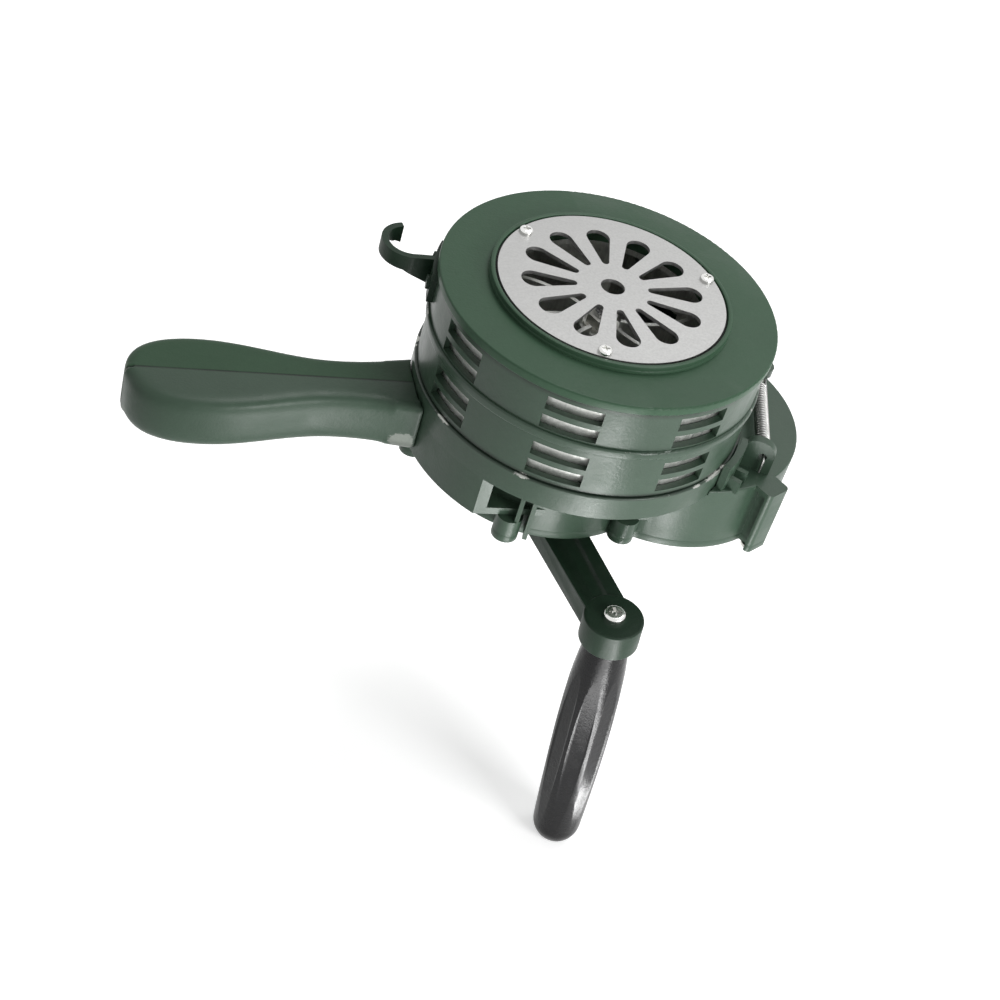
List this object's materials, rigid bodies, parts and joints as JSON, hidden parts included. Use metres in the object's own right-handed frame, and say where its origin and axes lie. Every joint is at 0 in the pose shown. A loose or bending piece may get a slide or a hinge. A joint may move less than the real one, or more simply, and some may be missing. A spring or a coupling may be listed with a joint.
{
  "type": "hand crank siren",
  "caption": "Hand cranked siren: grilled intake, slotted shutter drum with trigger hook, geared rotor in a cast case with a side lobe, carrying handle and turning crank grip.",
  "frame": {"origin": "on the rotor axis, in the top face of the intake flange", "axes": "+Z out of the intake along the rotor axis, -X along the carrying handle, +Y to the side of the trigger hook"},
  "size_m": [0.2855, 0.1677, 0.2417],
  "materials": {
    "green_enamel": "glossy dark green hammered enamel",
    "grille_sheet": "satin bare sheet",
    "bare_aluminium": "dull cast and turned",
    "bright_screws": "bright plated",
    "plated_steel": "zinc plated",
    "spring_steel": "drawn wire",
    "bearing_steel": "ground",
    "gear_steel": "machined, oiled",
    "bronze": "turned",
    "black_plastic": "moulded, semi gloss"
  },
  "bodies": {
    "housing": {"front_flange": "green_enamel", "inlet_grille": "grille_sheet", "grille_screws": "bright_screws", "stator_drum": "bare_aluminium", "drum_screws": "plated_steel", "stator_base": "green_enamel", "base_screws": "plated_steel", "upper_bearing": "bearing_steel", "lower_bearing": "bearing_steel", "bearing_plate": "plated_steel", "gear_housing": "green_enamel", "gear_cover": "green_enamel", "cover_screws": "plated_steel", "crank_bush": "bronze", "first_axle": "bearing_steel", "second_axle": "bearing_steel", "handle_front": "green_enamel", "handle_rear": "green_enamel", "handle_screws": "plated_steel", "handle_nuts": "plated_steel", "return_spring": "spring_steel"},
    "shutter": {"shutter_ring": "green_enamel", "trigger_hook": "green_enamel", "hook_rivets": "green_enamel", "spring_post": "plated_steel"},
    "rotor_body": {"rotor": "bare_aluminium", "rotor_shaft": "bearing_steel", "rotor_spacer": "plated_steel", "rotor_nut": "plated_steel", "rotor_washer": "plated_steel", "rotor_pinion": "gear_steel"},
    "first_cluster": {"first_gear": "gear_steel", "first_pinion": "gear_steel"},
    "second_cluster": {"second_gear": "gear_steel", "second_pinion": "gear_steel"},
    "crank": {"crank_gear": "gear_steel", "crank_shaft": "bearing_steel", "crank_clip": "spring_steel", "crank_arm": "green_enamel", "crank_nut": "plated_steel", "grip_screw": "bright_screws", "grip_washer": "plated_steel", "grip_nut": "plated_steel"},
    "grip": {"crank_grip": "black_plastic"}
  },
  "joints": [
    {"name": "shutter_turn", "type": "hinge", "parent": "housing", "child": "shutter", "pos_m": [0, 0, 0], "axis": [0, 0, 1], "range_deg": [0, 22.5], "stiffness_Nm_per_rad": 1.9, "springref_deg": -11.46, "deforming": ["return_spring"]},
    {"name": "crank_spin", "type": "hinge", "parent": "housing", "child": "crank", "pos_m": [-0.009, 0, -0.09], "axis": [0, 0, 1], "continuous": true},
    {"name": "first_gear_spin", "type": "hinge", "parent": "housing", "child": "first_cluster", "pos_m": [0.046, 0, -0.07], "axis": [0, 0, 1], "continuous": true},
    {"name": "second_gear_spin", "type": "hinge", "parent": "housing", "child": "second_cluster", "pos_m": [0.01291, 0.0332, -0.066], "axis": [0, 0, 1], "continuous": true},
    {"name": "rotor_spin", "type": "hinge", "parent": "housing", "child": "rotor_body", "pos_m": [0, 0, -0.03], "axis": [0, 0, 1], "continuous": true},
    {"name": "grip_spin", "type": "hinge", "parent": "crank", "child": "grip", "pos_m": [0.00879, -0.08516, -0.098], "axis": [0.0802, 0, -0.9968], "continuous": true}
  ],
  "couplings": [
    {"joint": "first_gear_spin", "follows": "crank_spin", "ratio": -4.5},
    {"joint": "second_gear_spin", "follows": "crank_spin", "ratio": 18},
    {"joint": "rotor_spin", "follows": "crank_spin", "ratio": -50.4}
  ]
}
